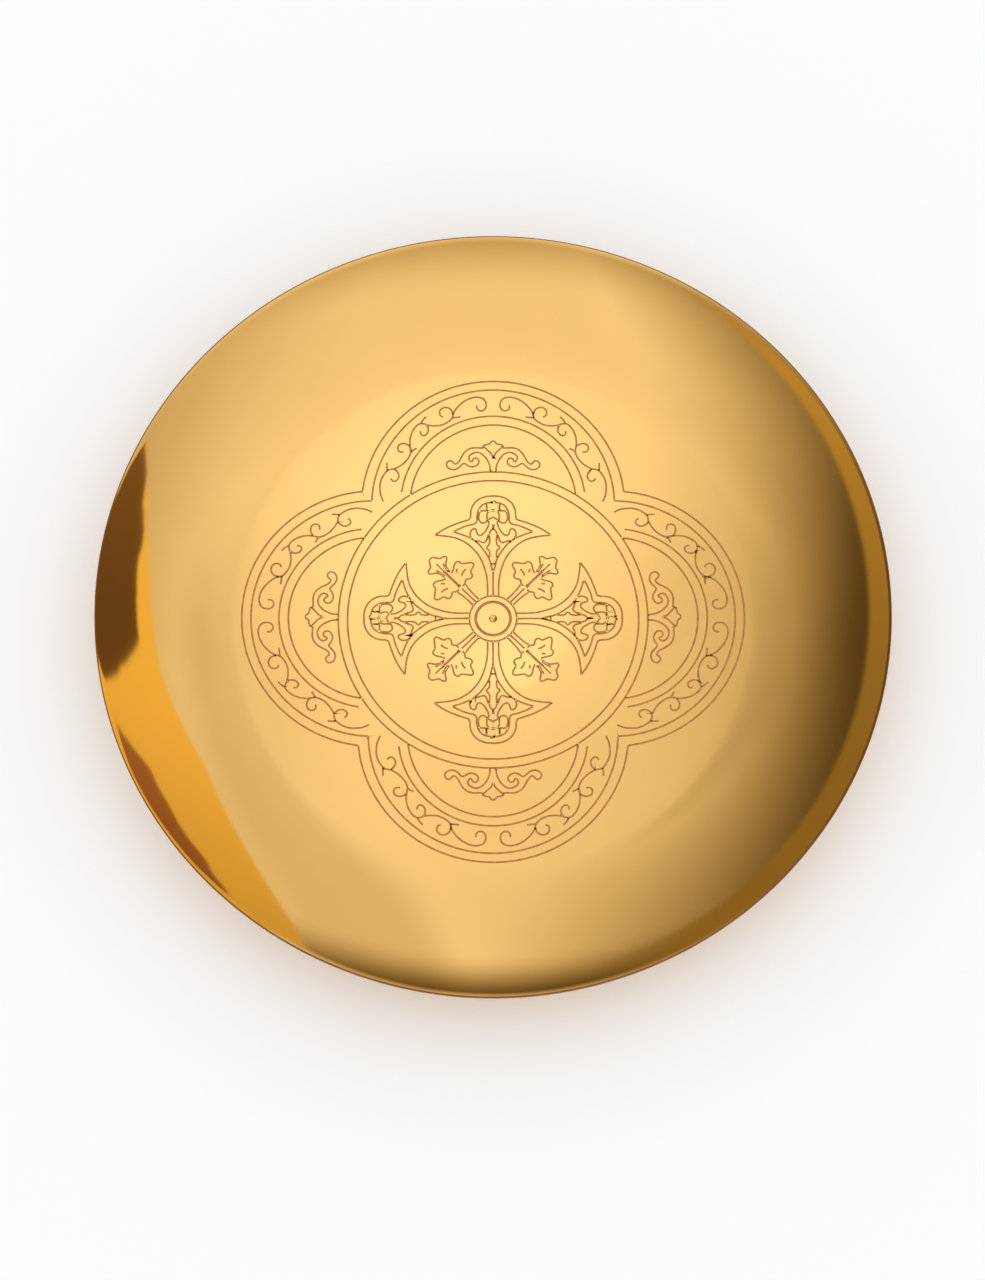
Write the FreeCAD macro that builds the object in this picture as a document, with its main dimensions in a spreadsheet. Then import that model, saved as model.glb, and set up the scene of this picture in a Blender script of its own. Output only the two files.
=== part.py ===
import FreeCAD, Part
import math
import os
import Sketcher

# Paten: a shallow round church dish, spun and pressed from one sheet of gold-plated brass.
# The frame: origin on the table under the middle of the dish, +Z up, millimetres.
# The sheet runs outwards from a small flat, which the dish stands on, through a very
# shallow bowl and up a curved wall that steepens as far as its plain edge, which is
# trimmed upright. The principal lines of the engraving are cut into the bowl: the dot and
# the rings in the middle, the double ring, and the lines of four lobes.

NODE = "paten_dish"

# alias, value in millimetres or degrees, meaning
DIMENSIONS = (
    ("dish_radius", 75.0, "outermost radius of the rim"),
    ("rim_height", 13.5, "top of the rim above the table"),
    ("thickness", 1.0, "thickness of the sheet, the same everywhere"),
    ("seat_radius", 12.0, "radius of the flat that the dish stands on"),
    ("seat_bend", 100.0, "bend from the flat into the bowl, on the upper face"),
    ("bowl_sphere", 450.0, "radius of the sphere that the upper face of the bowl follows"),
    ("bowl_margin", 1.3, "from the engraving's farthest line to the start of the wall"),
    ("edge_round", 0.15, "roundness of the two corners of the trimmed edge"),
    ("line_depth", 0.16, "depth of an engraved line"),
    ("line_cutter", 0.2, "radius of the round-nosed cutter for the lines"),
    ("bold_depth", 0.24, "depth of the dot and of the bold ring round it"),
    ("bold_cutter", 0.34, "radius of the cutter for the bold ring"),
    ("dot_radius", 0.8, "radius of the dot in the middle"),
    ("bold_ring", 3.35, "radius of the bold ring"),
    ("hub_ring", 4.57, "radius of the thin ring round the bold one"),
    ("inner_ring", 28.04, "radius of the inner line of the double ring"),
    ("outer_ring", 29.81, "radius of the outer line of the double ring"),
    ("lobe_count", 4, "lobes, evenly spaced round the middle"),
    ("outline_offset", 22.52, "middle of the dish to the centre of a lobe's outline"),
    ("outline_radius", 25.74, "radius of a lobe's outline"),
    ("inline_offset", 22.77, "middle of the dish to the centre of the line inside the outline"),
    ("inline_radius", 23.74, "radius of the line inside the outline"),
    ("arch_offset", 23.1, "middle of the dish to the centre of the arch in a lobe"),
    ("arch_outer", 18.07, "radius of the outer line of the arch"),
    ("arch_inner", 16.28, "radius of the inner line of the arch"),
    ("arch_outer_turn", 82.0, "the arch's outer line, from the lobe's axis to its end, degrees"),
)

# Worked out from the driving dimensions, as formulas in the same sheet.
DERIVED = (
    ("bowl_reach", "=outline_offset + outline_radius + bowl_margin", "radius where the wall"
     " starts"),
    ("bowl_up", "=thickness + seat_bend + sqrt((bowl_sphere - seat_bend)^2 - seat_radius^2)",
     "centre of the bowl's sphere above the table"),
    ("edge_out", "=dish_radius - edge_round", "centre of the edge's top corner, from the axis"),
    ("edge_up", "=rim_height - edge_round", "centre of that corner, above the table"),
    ("line_lift", "=line_cutter - line_depth", "centre of the line cutter above the metal"),
    ("bold_lift", "=bold_cutter - bold_depth", "centre of the bold cutter above the metal"),
    ("line_ride", "=bowl_sphere - line_lift", "sphere that the line cutter rides on"),
    ("dot_ball", "=(dot_radius^2 + bold_depth^2) / (2 * bold_depth)", "ball that cuts the dot"),
    ("lobe_half", "=180 / lobe_count", "a lobe's axis to the corner between two lobes, degrees"),
    ("outline_turn", "=lobe_half + asin(outline_offset * sin(lobe_half * 1deg) / outline_radius)"
     " / 1deg", "the outline, from the lobe's axis to that corner, degrees"),
    ("inline_turn", "=lobe_half + asin(inline_offset * sin(lobe_half * 1deg) / inline_radius)"
     " / 1deg", "the line inside it, from the lobe's axis to its corner, degrees"),
    ("arch_foot", "=outer_ring - line_cutter / 2", "radius where the arch's inner line ends,"
     " inside the groove of the double ring"),
    ("arch_inner_turn", "=acos((arch_foot^2 - arch_offset^2 - arch_inner^2)"
     " / (2 * arch_offset * arch_inner)) / 1deg",
     "the arch's inner line, from the lobe's axis to that end, degrees"),
)

# Rings on the flat: name, radius of the cutter, height of its centre above the metal.
FLAT_RINGS = (
    ("bold_ring", "bold_cutter", "bold_lift"),
    ("hub_ring", "line_cutter", "line_lift"),
)

# Rings on the bowl.
BOWL_RINGS = ("inner_ring", "outer_ring")

# Lines of a lobe: name, distance of their centre, radius, half of the turn they run through.
LOBE_LINES = (
    ("lobe_outline", "outline_offset", "outline_radius", "outline_turn"),
    ("lobe_inline", "inline_offset", "inline_radius", "inline_turn"),
    ("arch_outer_line", "arch_offset", "arch_outer", "arch_outer_turn"),
    ("arch_inner_line", "arch_offset", "arch_inner", "arch_inner_turn"),
)

# The sketcher's numbers for the points of a line or arc, for the origin and for the axes.
START, END, CENTRE = 1, 2, 3
ROOT = -1
H_AXIS = -1
V_AXIS = -2

# The stretches of either face, from the middle outwards.
SEAT, BEND, BOWL, WALL = range(4)


def write_sheet(doc):
    sheet = doc.addObject("Spreadsheet::Sheet", "sizes")
    for row, (alias, value, meaning) in enumerate(DIMENSIONS + DERIVED, start=1):
        sheet.set(f"A{row}", str(value))
        sheet.setAlias(f"A{row}", alias)
        sheet.set(f"B{row}", meaning)
    doc.recompute()
    return sheet


def origin_part(body, role):
    return next(part for part in body.Origin.OriginFeatures if part.Role == role)


def on_sheet(sheet, alias):
    return float(sheet.get(alias))


def new_sketch(body, name):
    sketch = body.newObject("Sketcher::SketchObject", name)
    sketch.AttachmentSupport = [(origin_part(body, "XZ_Plane"), "")]
    sketch.MapMode = "FlatFace"
    return sketch


def relate(sketch, kind, *places):
    """Add a constraint that has no size, such as Tangent or Coincident."""
    sketch.addConstraint(Sketcher.Constraint(kind, *places))


def dimension(sketch, kind, *places, size):
    """Add a dimension that the sheet drives; size is an expression."""
    value = float(sketch.evalExpression(size))
    index = sketch.addConstraint(Sketcher.Constraint(kind, *places, value))
    sketch.setExpression(f"Constraints[{index}]", size)


def draw_arc(sketch, centre, radius, first, last):
    """Draw an arc about centre, counter-clockwise from direction first to direction last."""
    circle = Part.Circle(centre, FreeCAD.Vector(0, 0, 1), radius)
    return sketch.addGeometry(Part.ArcOfCircle(circle, first, last), False)


def draw_line(sketch, start, end):
    return sketch.addGeometry(Part.LineSegment(start, end), False)


def draw_section(body, sheet):
    """Draw the cut through the sheet metal from the middle to the rim; x is the radius.

    The upper face is four stretches, seat, bend, bowl and wall, each tangent to the next.
    The underside has the same stretches round the same centres.
    """
    size = {alias: on_sheet(sheet, alias) for alias, value, meaning in DIMENSIONS + DERIVED}
    point = FreeCAD.Vector
    thickness = size["thickness"]
    edge_round = size["edge_round"]
    seat_radius = size["seat_radius"]

    bend_centre = point(seat_radius, thickness + size["seat_bend"], 0)
    bowl_centre = point(0, size["bowl_up"], 0)
    top_centre = point(size["edge_out"], size["edge_up"], 0)

    # The wall is tangent to the bowl and to the edge's top corner, which settles its radius.
    gentle = math.asin(seat_radius / (size["bowl_sphere"] - size["seat_bend"]))
    middling = math.asin(size["bowl_reach"] / size["bowl_sphere"])
    inwards = point(-math.sin(middling), math.cos(middling), 0)
    wall_start = bowl_centre - inwards * size["bowl_sphere"]
    span = top_centre - wall_start
    wall_bend = (span.dot(span) - edge_round**2) / (2 * (span.dot(inwards) + edge_round))
    wall_centre = wall_start + inwards * wall_bend
    run = top_centre.x - wall_centre.x
    steep_top = math.asin(run / (wall_bend + edge_round))
    under_reach = wall_bend + thickness - edge_round
    steep_low = math.asin(run / under_reach)
    low_centre = point(top_centre.x, wall_centre.y - under_reach * math.cos(steep_low), 0)
    up = math.pi / 2
    down = -math.pi / 2

    sketch = new_sketch(body, "section")
    faces = []
    for drop, steep in ((0, steep_top), (thickness, steep_low)):
        height = thickness - drop
        bend_radius = size["seat_bend"] + drop
        bowl_radius = size["bowl_sphere"] + drop
        seat = draw_line(sketch, point(0, height, 0), point(seat_radius, height, 0))
        bend = draw_arc(sketch, bend_centre, bend_radius, down, down + gentle)
        bowl = draw_arc(sketch, bowl_centre, bowl_radius, down + gentle, down + middling)
        wall = draw_arc(sketch, wall_centre, wall_bend + drop, down + middling, down + steep)
        faces.append((seat, bend, bowl, wall))
    top = draw_arc(sketch, top_centre, edge_round, 0, up + steep_top)
    low = draw_arc(sketch, low_centre, edge_round, down + steep_low, 0)
    outwards = point(edge_round, 0, 0)
    edge = draw_line(sketch, low_centre + outwards, top_centre + outwards)
    axis = draw_line(sketch, point(0, 0, 0), point(0, thickness, 0))

    # Each stretch meets the next smoothly, from the axis out to the trimmed edge.
    for seat, bend, bowl, wall in faces:
        relate(sketch, "Tangent", seat, END, bend, START)
        relate(sketch, "Tangent", bend, END, bowl, START)
        relate(sketch, "Tangent", bowl, END, wall, START)
    upper, under = faces
    relate(sketch, "Tangent", upper[WALL], END, top, END)
    relate(sketch, "Tangent", under[WALL], END, low, START)
    relate(sketch, "Tangent", top, START, edge, END)
    relate(sketch, "Tangent", low, END, edge, START)
    relate(sketch, "Vertical", edge)
    relate(sketch, "Equal", low, top)
    relate(sketch, "Coincident", axis, START, under[SEAT], START)
    relate(sketch, "Coincident", axis, END, upper[SEAT], START)

    # The two faces share their centres, and the seat's underside lies on the table.
    relate(sketch, "PointOnObject", upper[BOWL], CENTRE, V_AXIS)
    for stretch in (BEND, BOWL, WALL):
        relate(sketch, "Coincident", under[stretch], CENTRE, upper[stretch], CENTRE)
    relate(sketch, "Horizontal", upper[SEAT])
    relate(sketch, "Horizontal", under[SEAT])
    relate(sketch, "Coincident", axis, START, ROOT, START)
    relate(sketch, "PointOnObject", axis, END, V_AXIS)

    dimension(sketch, "DistanceY", ROOT, START, axis, END, size="sizes.thickness")
    dimension(sketch, "DistanceX", ROOT, START, upper[SEAT], END, size="sizes.seat_radius")
    dimension(sketch, "Radius", upper[BEND], size="sizes.seat_bend")
    dimension(sketch, "Radius", upper[BOWL], size="sizes.bowl_sphere")
    dimension(sketch, "DistanceX", ROOT, START, upper[BOWL], END, size="sizes.bowl_reach")
    dimension(sketch, "Radius", top, size="sizes.edge_round")
    dimension(sketch, "DistanceX", ROOT, START, top, CENTRE, size="sizes.edge_out")
    dimension(sketch, "DistanceY", ROOT, START, top, CENTRE, size="sizes.edge_up")
    return sketch


def draw_nose(sketch, sheet, ring, cutter, height):
    """Draw the round nose of a cutter where its ring crosses the section; height is a formula."""
    centre = FreeCAD.Vector(on_sheet(sheet, ring), float(sketch.evalExpression(height)), 0)
    circle = Part.Circle(centre, FreeCAD.Vector(0, 0, 1), on_sheet(sheet, cutter))
    nose = sketch.addGeometry(circle, False)
    dimension(sketch, "Radius", nose, size=f"sizes.{cutter}")
    dimension(sketch, "DistanceX", ROOT, START, nose, CENTRE, size=f"sizes.{ring}")
    dimension(sketch, "DistanceY", ROOT, START, nose, CENTRE, size=height)


def draw_ring_cutters(body, sheet):
    sketch = new_sketch(body, "ring_cutters")
    for ring, cutter, lift in FLAT_RINGS:
        draw_nose(sketch, sheet, ring, cutter, f"sizes.thickness + sizes.{lift}")
    for ring in BOWL_RINGS:
        height = f"sizes.bowl_up - sqrt(sizes.line_ride^2 - sizes.{ring}^2)"
        draw_nose(sketch, sheet, ring, "line_cutter", height)
    return sketch


def cut_dot(body):
    ball = body.newObject("PartDesign::SubtractiveSphere", "dot")
    ball.setExpression("Radius", "sizes.dot_ball")
    height = "sizes.thickness - sizes.bold_depth + sizes.dot_ball"
    ball.setExpression("Placement", f"placement(vector(0; 0; {height}); rotation(vector(0; 0; 1); 0))")


def cut_lobe_line(body, name, offset, radius, half_turn):
    """Cut one line of the lobe that lies towards +X.

    The line is a circle on the bowl, so the cutter's path leans inwards with the bowl.
    """
    fall = f"sqrt(sizes.line_ride^2 - sizes.{radius}^2)"
    lean = f"asin(sizes.{offset} / {fall})"
    centre = f"vector(sizes.{offset}; 0; sizes.bowl_up - {fall} * cos({lean}))"
    tilt = f"rotation(vector(0; 1; 0); -{lean})"
    turn = f"rotation(vector(0; 0; 1); -sizes.{half_turn} * 1deg)"
    cutter = body.newObject("PartDesign::SubtractiveTorus", name)
    cutter.setExpression("Radius1", f"sizes.{radius}")
    cutter.setExpression("Radius2", "sizes.line_cutter")
    cutter.setExpression("Angle3", f"2 * sizes.{half_turn} * 1deg")
    cutter.setExpression("Placement", f"placement({centre}; {tilt} * {turn})")
    return cutter


def build_dish(doc, sheet):
    body = doc.addObject("PartDesign::Body", NODE)
    body.Label = NODE

    section = draw_section(body, sheet)
    doc.recompute()
    dish = body.newObject("PartDesign::Revolution", "spun_sheet")
    dish.Profile = section
    dish.ReferenceAxis = (section, ["V_Axis"])
    dish.Angle = 360

    cutters = draw_ring_cutters(body, sheet)
    doc.recompute()
    rings = body.newObject("PartDesign::Groove", "rings")
    rings.Profile = cutters
    rings.ReferenceAxis = (cutters, ["V_Axis"])
    rings.Angle = 360

    cut_dot(body)
    lines = [cut_lobe_line(body, *line) for line in LOBE_LINES]
    doc.recompute()

    lobes = body.newObject("PartDesign::PolarPattern", "lobes")
    lobes.Originals = lines
    lobes.Axis = (origin_part(body, "Z_Axis"), [""])
    lobes.Angle = 360
    lobes.setExpression("Occurrences", "sizes.lobe_count")
    body.Tip = lobes
    return body


def check(doc, body):
    """Stop if anything failed, or if a cutter missed the metal."""
    for item in doc.Objects:
        if "Invalid" in item.State or "Error" in item.State:
            raise RuntimeError(f"{item.Label} failed: {item.State}")
    if body.Shape.isNull() or not body.Shape.isValid():
        raise RuntimeError(f"{body.Label} has no valid shape")
    if len(body.Shape.Solids) != 1:
        raise RuntimeError(f"{body.Label} is not one solid")
    for sketch in doc.findObjects("Sketcher::SketchObject"):
        if not sketch.FullyConstrained:
            raise RuntimeError(f"{sketch.Label} is not fully constrained")
    steps = [item for item in body.Group if item.isDerivedFrom("PartDesign::Feature")]
    for before, after in zip(steps, steps[1:]):
        removed = before.Shape.Volume - after.Shape.Volume
        print(f"{after.Label} removes {removed:.2f} mm3")
        if removed <= 0:
            raise RuntimeError(f"{after.Label} cuts nothing")


document = FreeCAD.newDocument("paten")
sizes = write_sheet(document)
paten = build_dish(document, sizes)
document.recompute()
check(document, paten)
os.makedirs("parts", exist_ok=True)
paten.Shape.exportStep(f"parts/{paten.Label}.step")
box = paten.Shape.optimalBoundingBox(False, False)
print(f"{paten.Label}: {box.XLength:.2f} x {box.YLength:.2f} x {box.ZLength:.2f} mm")
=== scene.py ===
import math

import bpy
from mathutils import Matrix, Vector


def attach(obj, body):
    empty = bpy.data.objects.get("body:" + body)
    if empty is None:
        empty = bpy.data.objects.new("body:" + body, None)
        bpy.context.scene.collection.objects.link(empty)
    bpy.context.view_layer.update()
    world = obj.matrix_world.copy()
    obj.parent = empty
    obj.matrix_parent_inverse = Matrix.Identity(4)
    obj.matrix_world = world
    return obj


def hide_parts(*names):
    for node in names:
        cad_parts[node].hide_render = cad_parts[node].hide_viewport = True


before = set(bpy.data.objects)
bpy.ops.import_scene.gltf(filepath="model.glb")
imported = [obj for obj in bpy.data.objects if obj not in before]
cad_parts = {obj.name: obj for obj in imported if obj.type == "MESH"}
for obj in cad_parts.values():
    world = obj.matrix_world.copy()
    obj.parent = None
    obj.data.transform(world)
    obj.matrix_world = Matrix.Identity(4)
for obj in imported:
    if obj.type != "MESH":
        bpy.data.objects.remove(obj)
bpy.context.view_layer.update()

MM = 0.001

# ---------------------------------------------------------------- sizes of the dish, in mm

DISH_RADIUS = 75.0
RIM_HEIGHT = 13.5
THICKNESS = 1.0
SEAT_RADIUS = 12.0
SEAT_BEND = 100.0
BOWL_SPHERE = 450.0
BOWL_REACH = 49.56
EDGE_ROUND = 0.15
BOWL_UP = THICKNESS + SEAT_BEND + math.sqrt((BOWL_SPHERE - SEAT_BEND) ** 2 - SEAT_RADIUS**2)
GENTLE = math.asin(SEAT_RADIUS / (BOWL_SPHERE - SEAT_BEND))
MIDDLING = math.asin(BOWL_REACH / BOWL_SPHERE)

# Facets round the dish, and the angle between facets that is shaded as an edge.
FACETS = 288
SHARP_ANGLE = math.radians(26)

# Engraved lines: the round-nosed cutter and how deep it goes. Cutters for other lines are
# given as multiples of this one, and go as much deeper.
LINE_CUTTER = 0.2
LINE_DEPTH = 0.16
BOLD = 1.6
DOT_RADIUS = 0.8
DOT_DEPTH = 0.24

# The motifs below are drawn a little small, and grow by this much on the dish.
DRAWING_GROWTH = 1.015

NODE = "paten_dish"


# ---------------------------------------------------------------- small helpers


def deselect_all():
    bpy.ops.object.select_all(action="DESELECT")


def activate(piece):
    deselect_all()
    piece.select_set(True)
    bpy.context.view_layer.objects.active = piece


def arc(centre, radius, first, last, steps):
    """Points from angle first to angle last round centre, without the first one."""
    points = []
    for step in range(1, steps + 1):
        angle = first + (last - first) * step / steps
        points.append((centre[0] + radius * math.cos(angle), centre[1] + radius * math.sin(angle)))
    return points


def face_height(radius):
    """Height of the upper face inside the wall."""
    if radius < SEAT_RADIUS:
        return THICKNESS
    if radius < BOWL_SPHERE * math.sin(GENTLE):
        return THICKNESS + SEAT_BEND - math.sqrt(SEAT_BEND**2 - (radius - SEAT_RADIUS) ** 2)
    return BOWL_UP - math.sqrt(BOWL_SPHERE**2 - radius**2)


# ---------------------------------------------------------------- the sheet metal


def section():
    """The section of the sheet from the middle of the upper face round the rim to the underside.

    Each face is the flat seat, the bend out of it, the bowl and the wall. The edge is upright.
    """
    down = -math.pi / 2
    top = (DISH_RADIUS - EDGE_ROUND, RIM_HEIGHT - EDGE_ROUND)
    inwards = (-math.sin(MIDDLING), math.cos(MIDDLING))
    start = (-inwards[0] * BOWL_SPHERE, BOWL_UP - inwards[1] * BOWL_SPHERE)
    span = (top[0] - start[0], top[1] - start[1])
    along = span[0] * inwards[0] + span[1] * inwards[1]
    wall_bend = (span[0] ** 2 + span[1] ** 2 - EDGE_ROUND**2) / (2 * (along + EDGE_ROUND))
    wall = (start[0] + inwards[0] * wall_bend, start[1] + inwards[1] * wall_bend)
    under_reach = wall_bend + THICKNESS - EDGE_ROUND
    steep_top = math.asin((top[0] - wall[0]) / (wall_bend + EDGE_ROUND))
    steep_low = math.asin((top[0] - wall[0]) / under_reach)
    low = (top[0], wall[1] - under_reach * math.cos(steep_low))

    def face(drop, steep):
        points = [(SEAT_RADIUS * part, THICKNESS - drop) for part in (0.25, 0.5, 0.75, 1.0)]
        bend = (SEAT_RADIUS, THICKNESS + SEAT_BEND)
        points += arc(bend, SEAT_BEND + drop, down, down + GENTLE, 3)
        points += arc((0, BOWL_UP), BOWL_SPHERE + drop, down + GENTLE, down + MIDDLING, 16)
        points += arc(wall, wall_bend + drop, down + MIDDLING, down + steep, 28)
        return points

    edge = arc(top, EDGE_ROUND, steep_top - down, 0.0, 5)
    edge += [(DISH_RADIUS, low[1])]
    edge += arc(low, EDGE_ROUND, 0.0, down + steep_low, 4)
    return face(0.0, steep_top) + edge + face(THICKNESS, steep_low)[-2::-1]


def spin_sheet(name, segments):
    """Model the dish ring by ring, from a small disc in the middle of the upper face."""
    points = section()
    first = points[0]
    deselect_all()
    bpy.ops.mesh.primitive_circle_add(
        vertices=segments,
        radius=first[0] * MM,
        fill_type="TRIFAN",
        location=(0, 0, first[1] * MM),
    )
    dish = bpy.context.object
    dish.name = name
    bpy.ops.object.transform_apply(location=True, rotation=True, scale=True)
    bpy.ops.object.mode_set(mode="EDIT")
    bpy.ops.mesh.select_mode(type="EDGE")
    bpy.ops.mesh.select_all(action="DESELECT")
    bpy.ops.mesh.select_non_manifold()
    before = first
    for point in points[1:]:
        lift = (point[1] - before[1]) * MM
        bpy.ops.mesh.extrude_region_move(TRANSFORM_OT_translate={"value": (0, 0, lift)})
        grow = point[0] / before[0]
        bpy.ops.transform.resize(value=(grow, grow, 1), center_override=(0, 0, 0))
        before = point
    bpy.ops.mesh.extrude_region_move(TRANSFORM_OT_translate={"value": (0, 0, 0)})
    bpy.ops.mesh.merge(type="CENTER")
    bpy.ops.mesh.select_all(action="SELECT")
    bpy.ops.mesh.normals_make_consistent(inside=False)
    bpy.ops.object.mode_set(mode="OBJECT")
    return dish


# ---------------------------------------------------------------- the engraver's drawing
#
# Every stroke is a smooth line through the points listed, in mm from the middle of the dish.
# x runs across the axis of its motif and y outwards along it. Each half motif is drawn once,
# mirrored about its axis and repeated round the dish.

# Rings: radius, and the width of the cutter.
RINGS = ((4.57, 1.0), (3.35, BOLD), (28.04, 1.0), (29.81, 1.0))
RING_STEPS = 48

# Lines of a lobe: distance of their centre, radius, half of the turn they run through.
LOBE_LINES = (
    (22.52, 25.74, 83.2),
    (22.77, 23.74, 87.7),
    (23.1, 18.07, 82.0),
    (23.1, 16.28, 83.6),
)
LOBE_STEPS = 24

CROSS_ARM = (
    # outline: up the stem, round the flare to the side tip, back and over the head
    [(1.05, 4.5), (1.05, 6.3), (1.2, 8.2), (1.65, 10.1), (2.4, 12.0), (3.5, 13.6), (5.0, 15.0),
     (6.9, 16.0), (9.0, 16.45), (11.14, 16.65)],
    [(11.14, 16.65), (9.4, 17.85), (7.2, 18.9), (5.4, 19.55), (4.6, 19.85), (4.35, 20.4),
     (4.3, 21.4), (3.85, 22.7), (2.9, 23.75), (1.5, 24.4), (0, 24.55)],
    # line inside it: up from the fork, along the flare to the inner tip, back and over
    [(0, 9.2), (0.3, 10.2), (0.75, 11.9), (1.8, 13.7), (3.3, 15.4), (5.1, 16.45), (7.65, 17.35)],
    [(7.65, 17.35), (6.3, 18.05), (4.6, 18.7), (3.6, 18.95), (3.15, 19.4), (3.1, 20.4),
     (2.85, 21.6), (2.1, 22.7), (1.1, 23.15), (0, 23.25)],
    # hook in the shoulder
    [(4.05, 15.85), (4.4, 16.7), (4.3, 17.4), (3.9, 17.9), (3.45, 17.95), (3.2, 17.5),
     (2.95, 16.85), (2.5, 16.65), (1.9, 17.0), (1.2, 18.0), (0.85, 18.9), (0.85, 19.5)],
    # petal below the hook, and the waist of the narrow leaf
    [(0.8, 16.9), (1.1, 16.2), (1.3, 15.6), (1.75, 15.2), (2.3, 15.35), (3.0, 15.55),
     (3.55, 15.4)],
    [(0, 18.0), (0.45, 17.6), (0.72, 16.8), (0.62, 15.6), (0.8, 14.8), (1.25, 14.15),
     (0.8, 13.7), (0.65, 13.1), (0.7, 12.2)],
    # side petal of the head, small petal over it, and the round middle
    [(0.95, 19.85), (1.5, 19.25), (1.95, 19.12), (2.4, 19.3), (2.75, 19.9), (2.75, 20.6),
     (2.45, 21.45), (1.9, 21.6), (1.35, 21.55)],
    [(2.6, 21.35), (2.62, 21.9)],
    [(1.3, 21.6), (1.2, 22.2), (1.3, 22.95)],
    [(0, 20.35), (0.5, 20.02), (0.95, 19.85), (1.18, 20.5), (1.1, 21.1), (0.7, 21.5), (0, 21.6)],
    [(0, 21.85), (0.55, 21.6), (1.3, 21.65)],
)
CROSS_AXIS = (
    ([(0, 4.5), (0, 9.3)], 1.0),
    ([(-0.4, 10.95), (0.4, 10.95)], 1.0),
    ([(0, 17.95), (0, 18.85)], 1.2),
    ([(-0.4, 23.25), (0.4, 23.25)], 1.3),
)

SPRIG = (
    # stem, side leaf with its veins, and half of the top leaf
    [(0.78, 4.45), (0.8, 6.0), (0.9, 7.4), (1.1, 8.5)],
    [(0.5, 8.7), (1.2, 8.75), (1.8, 9.15), (2.3, 8.85), (2.9, 8.7), (3.3, 8.9), (3.5, 9.5),
     (3.9, 9.8), (4.6, 10.0), (5.1, 10.5), (4.6, 11.15), (3.9, 11.7), (3.5, 12.1), (3.4, 12.7),
     (3.0, 12.95), (2.3, 12.8), (1.6, 12.35), (0.8, 12.0)],
    [(1.8, 10.3), (2.5, 10.6), (3.3, 10.7)],
    [(1.6, 11.4), (2.1, 11.95)],
    [(0.75, 12.4), (0.9, 13.4), (1.35, 14.15), (2.0, 14.6), (2.35, 15.0), (2.1, 15.4),
     (1.4, 15.6), (0.95, 16.05), (0.5, 16.75), (0, 16.95)],
    [(0.95, 14.5), (0.7, 13.6), (0.5, 12.6)],
)
SPRIG_AXIS = (
    ([(0, 4.5), (0, 8.4)], 1.0),
    ([(0, 8.9), (0, 9.4)], 1.9),
    ([(0, 9.4), (0, 11.6), (0, 13.4)], 1.4),
    ([(0, 13.2), (0, 15.4)], 0.9),
)

PALMETTE = (
    # stem and its volute, then the scroll from the leaf out to the end curl and back
    [(0.6, 29.4), (0.6, 30.3), (0.95, 31.4), (1.7, 32.55), (2.5, 33.15), (3.3, 33.3),
     (4.1, 33.0), (4.65, 32.45), (4.6, 31.8), (4.15, 31.45), (3.85, 31.9), (3.45, 32.15),
     (2.95, 31.95), (2.75, 31.4), (2.95, 30.9), (3.45, 30.55), (4.1, 30.4), (4.9, 30.65),
     (5.6, 31.05), (6.0, 30.85), (6.5, 30.35), (7.1, 29.95), (7.8, 29.82), (8.6, 30.1),
     (9.0, 30.7), (8.85, 31.3), (8.3, 31.6), (7.8, 31.35), (7.5, 31.0), (7.1, 31.0),
     (6.55, 31.55), (6.1, 32.4), (5.6, 33.2), (4.8, 33.9), (3.9, 34.2), (2.8, 34.2), (1.9, 34.2)],
    # half of the leaf on the tip
    [(0, 32.1), (0.35, 33.0), (1.1, 33.75), (1.95, 34.55)],
    [(1.95, 34.65), (1.2, 34.9), (0.7, 35.0), (0.35, 35.45), (0, 35.6)],
)

VINE = (
    [(3.2, 42.75), (3.05, 42.0), (2.35, 41.65), (1.65, 41.95), (1.35, 42.9), (1.75, 43.9),
     (2.7, 44.35), (3.9, 44.3), (5.2, 43.8), (6.4, 42.9), (7.2, 42.0), (7.75, 41.0),
     (7.95, 40.2), (8.6, 39.5), (9.9, 38.8), (11.3, 38.6), (12.5, 38.7), (13.6, 39.0),
     (14.4, 38.9), (15.2, 38.1), (15.8, 37.0), (16.1, 35.7), (16.1, 34.6), (15.9, 33.5),
     (16.1, 32.6), (16.8, 31.5), (17.9, 30.5), (19.1, 29.85), (20.2, 29.6), (21.1, 28.6),
     (21.7, 27.2), (21.8, 25.9), (21.6, 24.4), (21.1, 23.25)],
    [(7.8, 40.9), (8.1, 41.75), (8.7, 42.2), (9.4, 42.3), (10.15, 41.9), (10.4, 41.2),
     (10.15, 40.6), (9.7, 40.35)],
    [(7.9, 40.25), (7.1, 40.3), (6.3, 40.4)],
    [(13.0, 38.75), (12.65, 38.3), (12.6, 37.5), (12.95, 36.85), (13.5, 36.6), (14.0, 36.95),
     (14.1, 37.5)],
    [(14.0, 39.1), (13.6, 39.75), (13.0, 40.4)],
    [(16.2, 34.5), (16.8, 34.85), (17.5, 34.95), (18.2, 34.65), (18.45, 34.0), (18.2, 33.4),
     (17.3, 33.25)],
    [(15.85, 33.4), (15.4, 33.7), (14.8, 34.0)],
    [(19.0, 29.8), (18.4, 29.1), (18.2, 28.4), (18.5, 27.65), (19.1, 27.35), (19.8, 27.85)],
    [(20.45, 29.5), (20.5, 30.2), (20.5, 31.0)],
)


def new_drawing(name):
    drawing = bpy.data.curves.new(name, "CURVE")
    drawing.dimensions = "3D"
    drawing.bevel_depth = LINE_CUTTER * MM
    drawing.bevel_resolution = 1
    drawing.use_fill_caps = True
    drawing.resolution_u = 4
    return drawing


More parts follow.
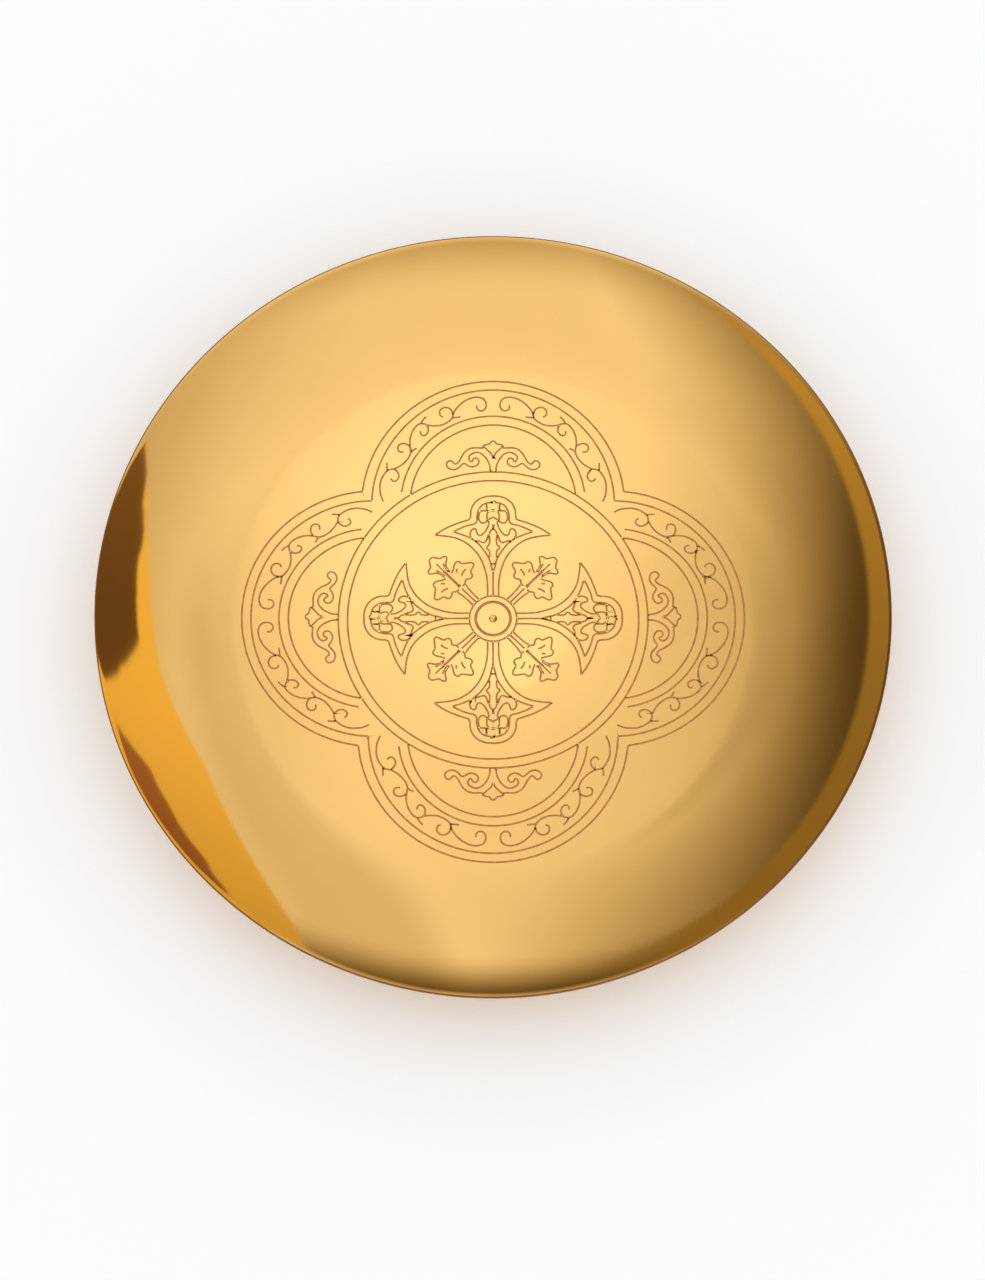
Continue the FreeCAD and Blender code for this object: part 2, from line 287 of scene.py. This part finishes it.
def add_stroke(drawing, points, width=1.0, closed=False):
    """Lay the cutter's path just above the metal, so that it sinks in by the line's depth."""
    spline = drawing.splines.new("BEZIER")
    spline.bezier_points.add(len(points) - 1)
    for knot, (x, y) in zip(spline.bezier_points, points):
        ride = face_height(math.hypot(x, y)) + (LINE_CUTTER - LINE_DEPTH) * width
        knot.co = (x * MM, y * MM, ride * MM)
        knot.handle_left_type = "AUTO"
        knot.handle_right_type = "AUTO"
        knot.radius = width
    spline.use_cyclic_u = closed


def grown(points):
    return [(x * DRAWING_GROWTH, y * DRAWING_GROWTH) for x, y in points]


def as_mesh(drawing, turn=0.0, mirrored=False):
    piece = bpy.data.objects.new(drawing.name, drawing)
    bpy.context.collection.objects.link(piece)
    activate(piece)
    bpy.ops.object.convert(target="MESH")
    piece = bpy.context.object
    if mirrored:
        piece.scale = (-1, 1, 1)
    piece.rotation_euler = (0, 0, turn)
    bpy.ops.object.transform_apply(location=True, rotation=True, scale=True)
    return piece


def dot_cutter():
    ball = (DOT_RADIUS**2 + DOT_DEPTH**2) / (2 * DOT_DEPTH)
    deselect_all()
    bpy.ops.mesh.primitive_uv_sphere_add(
        segments=48,
        ring_count=32,
        radius=ball * MM,
        location=(0, 0, (THICKNESS - DOT_DEPTH + ball) * MM),
    )
    bpy.ops.object.transform_apply(location=True, rotation=True, scale=True)
    return bpy.context.object


def cut_engraving(line_material, dot_material):
    cutters = []
    half = new_drawing("half_lobe")
    for stroke in CROSS_ARM + PALMETTE + VINE:
        add_stroke(half, grown(stroke))
    axis = new_drawing("lobe_axis")
    for stroke, width in CROSS_AXIS:
        add_stroke(axis, grown(stroke), width)
    sprig = new_drawing("half_sprig")
    for stroke in SPRIG:
        add_stroke(sprig, grown(stroke))
    sprig_axis = new_drawing("sprig_axis")
    for stroke, width in SPRIG_AXIS:
        add_stroke(sprig_axis, grown(stroke), width)
    arcs = new_drawing("lobe_lines")
    for offset, radius, turn in LOBE_LINES:
        points = []
        for step in range(LOBE_STEPS + 1):
            angle = math.radians(turn * (2 * step / LOBE_STEPS - 1))
            points.append((radius * math.sin(angle), offset + radius * math.cos(angle)))
        add_stroke(arcs, points)
    for quarter in range(4):
        turn = quarter * math.pi / 2
        for drawing in (half, axis, arcs):
            cutters.append(as_mesh(drawing.copy(), turn))
        cutters.append(as_mesh(half.copy(), turn, mirrored=True))
        turn += math.pi / 4
        for drawing in (sprig, sprig_axis):
            cutters.append(as_mesh(drawing.copy(), turn))
        cutters.append(as_mesh(sprig.copy(), turn, mirrored=True))
    rings = new_drawing("rings")
    for radius, width in RINGS:
        points = []
        for step in range(RING_STEPS):
            angle = 2 * math.pi * step / RING_STEPS
            points.append((radius * math.cos(angle), radius * math.sin(angle)))
        add_stroke(rings, points, width, closed=True)
    cutters.append(as_mesh(rings))
    for cutter in cutters:
        cutter.data.materials.append(line_material)
    dot = dot_cutter()
    dot.data.materials.append(dot_material)
    cutters.append(dot)
    deselect_all()
    for cutter in cutters:
        cutter.select_set(True)
    bpy.context.view_layer.objects.active = cutters[0]
    bpy.ops.object.join()
    cutter = bpy.context.object
    bpy.ops.object.mode_set(mode="EDIT")
    bpy.ops.mesh.select_all(action="SELECT")
    bpy.ops.mesh.remove_doubles(threshold=0.0000001)
    bpy.ops.mesh.normals_make_consistent(inside=False)
    bpy.ops.object.mode_set(mode="OBJECT")
    return cutter


def engrave(dish, cutter):
    activate(dish)
    cut = dish.modifiers.new("engraving", "BOOLEAN")
    cut.operation = "DIFFERENCE"
    cut.object = cutter
    cut.solver = "MANIFOLD"
    cut.material_mode = "TRANSFER"
    bpy.ops.object.modifier_apply(modifier=cut.name)
    bpy.data.objects.remove(cutter)


# ---------------------------------------------------------------- materials


def new_material(name):
    material = bpy.data.materials.new(name)
    material.use_nodes = True
    return material, material.node_tree, material.node_tree.nodes["Principled BSDF"]


def link(tree, source, target):
    tree.links.new(source, target)


def mottle(tree, shader, scale, detail, dark, light):
    """Let the base colour drift between two tones, and give the noise that it follows."""
    place = tree.nodes.new("ShaderNodeTexCoord")
    noise = tree.nodes.new("ShaderNodeTexNoise")
    noise.inputs["Scale"].default_value = scale
    noise.inputs["Detail"].default_value = detail
    link(tree, place.outputs["Object"], noise.inputs["Vector"])
    tone = tree.nodes.new("ShaderNodeValToRGB")
    tone.color_ramp.elements[0].position = 0.3
    tone.color_ramp.elements[0].color = (*dark, 1)
    tone.color_ramp.elements[1].position = 0.7
    tone.color_ramp.elements[1].color = (*light, 1)
    link(tree, noise.outputs["Fac"], tone.inputs["Fac"])
    link(tree, tone.outputs["Color"], shader.inputs["Base Color"])
    return noise.outputs["Fac"]


def gold_plate():
    """Bright polished gold plating, with the faintest unevenness left by buffing."""
    material, tree, shader = new_material("gold_plate")
    shader.inputs["Metallic"].default_value = 1.0
    cloud = mottle(tree, shader, 35.0, 3.0, (0.93, 0.565, 0.185), (0.97, 0.60, 0.2))
    rough = tree.nodes.new("ShaderNodeMapRange")
    rough.inputs["To Min"].default_value = 0.05
    rough.inputs["To Max"].default_value = 0.08
    link(tree, cloud, rough.inputs["Value"])
    link(tree, rough.outputs["Result"], shader.inputs["Roughness"])
    return material


def engraved_line_painted_shade():
    """The floor and walls of a cut line: matt, and brown with painted shade for the shade inside
    the narrow groove.
    """
    material, tree, shader = new_material("engraved_line_painted_shade")
    shader.inputs["Metallic"].default_value = 0.1
    shader.inputs["Roughness"].default_value = 0.5
    # The brown is painted shade for the groove, drifting a little at random.
    mottle(tree, shader, 900.0, 2.0, (0.46, 0.19, 0.055), (0.62, 0.28, 0.085))
    return material


def painted_shade_edge():
    """The sheet's edge: matt, with painted shade that makes it darker and redder than the gold."""
    material, tree, shader = new_material("painted_shade_edge")
    shader.inputs["Metallic"].default_value = 1.0
    shader.inputs["Roughness"].default_value = 0.4
    # The dark red-brown is painted shade, drifting a little at random.
    mottle(tree, shader, 300.0, 2.0, (0.26, 0.09, 0.03), (0.34, 0.13, 0.04))
    return material


# ---------------------------------------------------------------- the studio


def studio_floor():
    deselect_all()
    bpy.ops.mesh.primitive_grid_add(x_subdivisions=8, y_subdivisions=8, size=6.0)
    floor = bpy.context.object
    floor.name = "studio_floor"
    material, tree, shader = new_material("studio_floor")
    shader.inputs["Base Color"].default_value = (0.95, 0.95, 0.95, 1)
    shader.inputs["Roughness"].default_value = 0.9
    floor.data.materials.append(material)


# In the sky everything is placed in degrees from straight up: first towards +X, then towards
# +Y. A card's border blurs over this many degrees on either side.
SOFT_BORDER = 0.5

# Light from each card, as colour times strength.
BROWN_CARD = (0.33, 0.24, 0.075)
ORANGE_CARD = (0.80, 0.59, 0.165)
RED_CARD = (0.28, 0.13, 0.06)
DARK_CARD = (0.13, 0.075, 0.03)

CAMERA_ELEVATION = math.radians(73.0)
CAMERA_DISTANCE = 482.5
SENSOR = 36.0
LENS = 70.31
# How far the middle of the view lies from the target, as parts of the sensor.
SHIFT_ACROSS = -0.00046875
SHIFT_UP = -0.016796875


def studio_camera():
    data = bpy.data.cameras.new("camera")
    data.sensor_width = SENSOR
    data.lens = LENS
    data.shift_x = SHIFT_ACROSS
    data.shift_y = SHIFT_UP
    camera = bpy.data.objects.new("camera", data)
    bpy.context.collection.objects.link(camera)
    target = Vector((0, 0, THICKNESS))
    back = Vector((0, -math.cos(CAMERA_ELEVATION), math.sin(CAMERA_ELEVATION)))
    camera.location = (target + back * CAMERA_DISTANCE) * MM
    camera.rotation_euler = (math.pi / 2 - CAMERA_ELEVATION, 0, 0)
    data.clip_start = 0.01
    bpy.context.scene.camera = camera


def maths(tree, operation, *values):
    """A Math node; each value is a number or another node's output."""
    node = tree.nodes.new("ShaderNodeMath")
    node.operation = operation
    for socket, value in zip(node.inputs, values):
        if isinstance(value, (int, float)):
            socket.default_value = value
        else:
            link(tree, value, socket)
    return node.outputs[0]


def ease(tree, value, low, high, first=0.0, last=1.0):
    """Run smoothly from first, where value is low, to last, where it is high."""
    node = tree.nodes.new("ShaderNodeMapRange")
    node.interpolation_type = "SMOOTHSTEP"
    link(tree, value, node.inputs["Value"])
    node.inputs["From Min"].default_value = low
    node.inputs["From Max"].default_value = high
    node.inputs["To Min"].default_value = first
    node.inputs["To Max"].default_value = last
    return node.outputs["Result"]


def product(tree, *values):
    total = values[0]
    for value in values[1:]:
        total = maths(tree, "MULTIPLY", total, value)
    return total


def right_of(tree, place, start, end):
    """1 on the right of the line from start to end, 0 on its left, with a soft change."""
    along = (end[0] - start[0], end[1] - start[1])
    length = math.hypot(*along)
    across = (along[1] / length, -along[0] / length)
    offset = start[0] * across[0] + start[1] * across[1]
    distance = maths(
        tree,
        "ADD",
        maths(tree, "MULTIPLY", place[0], across[0]),
        maths(tree, "MULTIPLY", place[1], across[1]),
    )
    return ease(tree, distance, offset - SOFT_BORDER, offset + SOFT_BORDER)


def right_of_all(tree, place, corners):
    """1 on the right of every line from one corner to the next."""
    sides = [right_of(tree, place, *ends) for ends in zip(corners, corners[1:])]
    return product(tree, *sides)


def tint(tree, level, colour):
    """The colour times a level that varies."""
    node = tree.nodes.new("ShaderNodeVectorMath")
    node.operation = "SCALE"
    node.inputs[0].default_value = colour
    link(tree, level, node.inputs["Scale"])
    return node.outputs["Vector"]


def lay_over(tree, below, above, mask):
    node = tree.nodes.new("ShaderNodeMix")
    node.data_type = "RGBA"
    link(tree, mask, node.inputs["Factor"])
    link(tree, below, node.inputs["A"])
    link(tree, above, node.inputs["B"])
    return node.outputs["Result"]


def sky_place(tree, wobble):
    """Where a direction lies, in degrees from straight up: towards +X and towards +Y."""
    facing = tree.nodes.new("ShaderNodeTexCoord")
    split = tree.nodes.new("ShaderNodeSeparateXYZ")
    link(tree, facing.outputs["Generated"], split.inputs[0])
    x, y, z = split.outputs
    steep = maths(tree, "ARCCOSINE", z)
    flat = maths(tree, "MAXIMUM", maths(tree, "SINE", steep), 0.0001)
    reach = maths(tree, "DIVIDE", maths(tree, "MULTIPLY", steep, 180 / math.pi), flat)
    ripple = tree.nodes.new("ShaderNodeTexNoise")
    ripple.inputs["Scale"].default_value = 9.0
    ripple.inputs["Detail"].default_value = 3.0
    link(tree, facing.outputs["Generated"], ripple.inputs["Vector"])
    stray = maths(tree, "MULTIPLY", maths(tree, "SUBTRACT", ripple.outputs["Fac"], 0.5), wobble)
    across = maths(tree, "ADD", maths(tree, "MULTIPLY", x, reach), stray)
    return across, maths(tree, "MULTIPLY", y, reach)


def soft_box(tree, place):
    """The big soft light overhead: brightest near the middle, and dimmer towards the edges."""
    across, back = place
    slide = ease(tree, back, -14.0, 28.0, 18.0, 0.0)
    left = maths(tree, "DIVIDE", maths(tree, "ADD", maths(tree, "ADD", across, slide), 50.0), 56.0)
    left = maths(tree, "POWER", maths(tree, "MINIMUM", maths(tree, "MAXIMUM", left, 0.0), 1.0), 1.6)
    left = maths(tree, "MINIMUM", maths(tree, "ADD", left, 0.1), 1.0)
    right = ease(tree, across, 6.0, 58.0, 1.0, 0.68)
    dips = maths(
        tree,
        "ADD",
        product(
            tree,
            ease(tree, back, 8.0, 20.0, 0.0, 0.2),
            ease(tree, across, 2.5, 9.0),
            ease(tree, across, 18.0, 32.0, 1.0, 0.0),
        ),
        product(
            tree,
            ease(tree, back, 10.0, 17.0, 0.0, 0.25),
            ease(tree, back, 22.0, 30.0, 1.0, 0.0),
            ease(tree, across, -7.5, -2.5, 1.0, 0.0),
            ease(tree, across, -26.0, -8.0),
        ),
    )
    shade = maths(tree, "SUBTRACT", 1.0, dips)
    front = ease(tree, back, -54.0, -24.0, 0.55, 1.0)
    rear = ease(tree, back, 60.0, 83.0, 1.0, 0.12)
    from_hot = maths(
        tree,
        "SQRT",
        maths(
            tree,
            "ADD",
            maths(tree, "POWER", maths(tree, "SUBTRACT", across, 0.8), 2.0),
            maths(tree, "POWER", maths(tree, "MULTIPLY_ADD", back, 0.9, -13.0), 2.0),
        ),
    )
    hot = ease(tree, from_hot, 0.0, 7.0, 1.27, 1.0)
    glow = ease(tree, from_hot, 3.0, 25.0, 1.03, 0.98)
    level = product(tree, left, right, shade, front, rear, hot, glow)
    mixed = tree.nodes.new("ShaderNodeCombineXYZ")
    link(tree, level, mixed.inputs[0])
    link(tree, maths(tree, "POWER", level, 1.14), mixed.inputs[1])
    link(tree, maths(tree, "POWER", level, 1.47), mixed.inputs[2])
    return mixed.outputs[0]


def studio_sky(tree):
    """What the polished metal reflects: the soft light, and cards round the sides."""
    place = sky_place(tree, 0.0)
    rough_place = sky_place(tree, 5.0)
    across, back = place
    sky = soft_box(tree, place)

    # Brown card low on the left, with a curved upper edge. The dish shows it on its right.
    oval = maths(
        tree,
        "ADD",
        maths(tree, "POWER", maths(tree, "DIVIDE", across, 53.3), 2.0),
        maths(tree, "POWER", maths(tree, "DIVIDE", maths(tree, "SUBTRACT", back, 13.0), 59.0), 2.0),
    )
    low = ease(tree, oval, 0.95, 1.05)
    low = product(
        tree,
        low,
        ease(tree, across, -30.0, -10.0, 1.0, 0.0),
        ease(tree, back, -44.0, -20.0),
        ease(tree, back, 68.0, 86.0, 1.0, 0.6),
    )
    sky = lay_over(tree, sky, tint(tree, ease(tree, back, -34.0, 50.0, 1.6, 0.8), BROWN_CARD), low)

    # Orange card on the right, with a red-brown and a dark card in front of it. The dish
    # shows them on its left.
    lower = maths(
        tree,
        "MAXIMUM",
        right_of(tree, place, (35.3, 26.7), (27.5, 34.4)),
        right_of_all(tree, place, ((51.5, -1.5), (41.5, 13.2), (35.3, 26.7))),
    )
    orange = product(tree, right_of(tree, place, (27.5, 34.0), (24.5, 84.0)), lower)
    glow = ease(tree, back, 20.0, 72.0, 1.15, 0.82)
    sky = lay_over(tree, sky, tint(tree, glow, ORANGE_CARD), orange)
    red_edge = ((57.0, 40.5), (46.1, 45.1), (38.6, 59.0), (36.4, 69.3))
    red = right_of_all(tree, rough_place, red_edge)
    sky = lay_over(tree, sky, tint(tree, ease(tree, back, 40.0, 70.0, 1.2, 0.9), RED_CARD), red)
    dark_edge = ((57.5, -10.0), (50.6, 0.2), (47.2, 8.0), (44.2, 23.7), (58.6, 35.7))
    dark = right_of_all(tree, rough_place, dark_edge)
    return lay_over(tree, sky, tint(tree, ease(tree, back, -8.0, 24.0, 1.5, 1.0), DARK_CARD), dark)


def studio_light():
    """White light on the floor and in view; the cards are seen only in the polished metal."""
    world = bpy.data.worlds.new("studio")
    bpy.context.scene.world = world
    world.use_nodes = True
    tree = world.node_tree
    plain = tree.nodes["Background"]
    plain.inputs["Color"].default_value = (1, 1, 1, 1)
    plain.inputs["Strength"].default_value = 1.04
    cards = tree.nodes.new("ShaderNodeBackground")
    link(tree, studio_sky(tree), cards.inputs["Color"])
    ray = tree.nodes.new("ShaderNodeLightPath")
    either = tree.nodes.new("ShaderNodeMixShader")
    link(tree, ray.outputs["Is Glossy Ray"], either.inputs["Fac"])
    link(tree, plain.outputs[0], either.inputs[1])
    link(tree, cards.outputs[0], either.inputs[2])
    link(tree, either.outputs[0], tree.nodes["World Output"].inputs["Surface"])


# ---------------------------------------------------------------- build


def build_dish():
    dish = spin_sheet("dish", FACETS)
    gold = gold_plate()
    dish.data.materials.append(gold)
    dish.data.materials.append(painted_shade_edge())
    # The edge's faces, corners included, all lie outside this radius; they get the edge's painted
    # shade.
    edge_starts = (DISH_RADIUS - 1.7 * EDGE_ROUND) * MM
    edge = dish.data.materials.find("painted_shade_edge")
    for face in dish.data.polygons:
        if face.center.xy.length > edge_starts:
            face.material_index = edge
    engrave(dish, cut_engraving(engraved_line_painted_shade(), gold))
    activate(dish)
    bpy.ops.object.shade_smooth_by_angle(angle=SHARP_ANGLE)
    # Faces of the cut lines, coloured with painted shade, are shaded flat.
    lines = dish.data.materials.find("engraved_line_painted_shade")
    for face in dish.data.polygons:
        if face.material_index == lines:
            face.use_smooth = False
    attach(dish, "root")
    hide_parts(NODE)


build_dish()
studio_floor()
studio_camera()
studio_light()
bpy.context.scene.view_settings.view_transform = "Standard"
